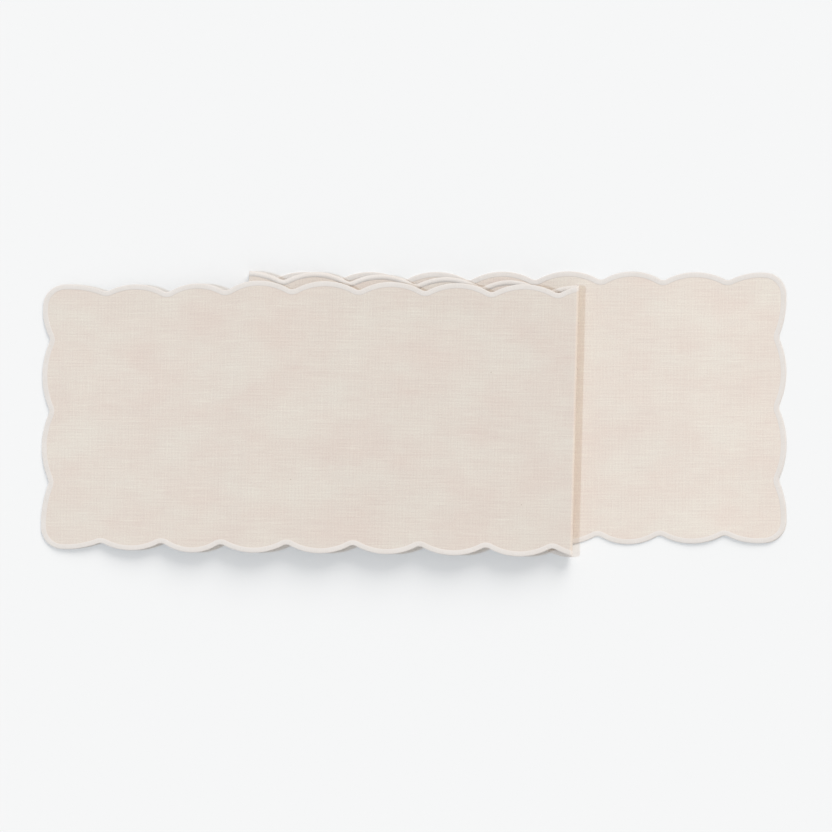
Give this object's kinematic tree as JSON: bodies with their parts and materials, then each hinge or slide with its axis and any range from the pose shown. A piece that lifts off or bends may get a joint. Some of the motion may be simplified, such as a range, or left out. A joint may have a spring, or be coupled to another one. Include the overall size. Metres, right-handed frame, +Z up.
{
  "type": "table runner",
  "caption": "Linen table runner with a scalloped satin-stitched border, folded in three like a Z; it pulls open to its full length.",
  "frame": {"origin": "on the table, under the centre of the folded runner's bounding box", "axes": "+X along the runner towards the bottom panel's scalloped end, +Y towards the back long edge, +Z up"},
  "size_m": [0.9756, 0.3734, 0.0243],
  "materials": {
    "linen": "plain-weave natural linen, matte",
    "satin_stitch": "off-white satin stitch, soft sheen"
  },
  "bodies": {
    "bottom": {"bottom_linen": "linen", "bottom_border_back": "satin_stitch", "bottom_border_front": "satin_stitch", "bottom_border_end": "satin_stitch"},
    "left_fold": {"left_fold_linen": "linen", "left_fold_border_back": "satin_stitch", "left_fold_border_front": "satin_stitch"},
    "middle": {"middle_linen": "linen", "middle_border_back": "satin_stitch", "middle_border_front": "satin_stitch"},
    "right_fold": {"right_fold_linen": "linen", "right_fold_border_back": "satin_stitch", "right_fold_border_front": "satin_stitch"},
    "top": {"top_linen": "linen", "top_border_back": "satin_stitch", "top_border_front": "satin_stitch"},
    "overhang": {"overhang_linen": "linen", "overhang_border_back": "satin_stitch", "overhang_border_front": "satin_stitch", "overhang_border_end": "satin_stitch"}
  },
  "joints": [
    {"name": "left_fold_lower_bend", "type": "hinge", "parent": "bottom", "child": "left_fold", "pos_m": [-0.21804, 0.0086, 0.00075], "axis": [-0.0201, -0.9998, 0], "range_deg": [0, 91.21], "deforming": ["left_fold_linen", "left_fold_border_back", "left_fold_border_front"]},
    {"name": "left_fold_upper_bend", "type": "hinge", "parent": "left_fold", "child": "middle", "pos_m": [-0.21762, 0.00818, 0.02116], "axis": [-0.0201, -0.9998, 0], "range_deg": [0, 91.21]},
    {"name": "right_fold_lower_bend", "type": "hinge", "parent": "middle", "child": "right_fold", "pos_m": [0.21005, -0.00901, 0.00308], "axis": [0.0249, 0.9997, -0.0002], "range_deg": [0, 91.21], "deforming": ["right_fold_linen", "right_fold_border_back", "right_fold_border_front"]},
    {"name": "right_fold_upper_bend", "type": "hinge", "parent": "right_fold", "child": "top", "pos_m": [0.21048, -0.00933, 0.02349], "axis": [0.0249, 0.9997, -0.0002], "range_deg": [0, 91.21]},
    {"name": "overhang_bend", "type": "hinge", "parent": "top", "child": "overhang", "pos_m": [-0.2145, -0.00525, 0.02349], "axis": [0.0201, 0.9998, -0.0002], "range_deg": [0, 4.75]}
  ],
  "couplings": [
    {"joint": "left_fold_upper_bend", "follows": "left_fold_lower_bend", "ratio": 1},
    {"joint": "right_fold_lower_bend", "follows": "left_fold_lower_bend", "ratio": 1},
    {"joint": "right_fold_upper_bend", "follows": "left_fold_lower_bend", "ratio": 1},
    {"joint": "overhang_bend", "follows": "left_fold_lower_bend", "ratio": 0.05207}
  ]
}
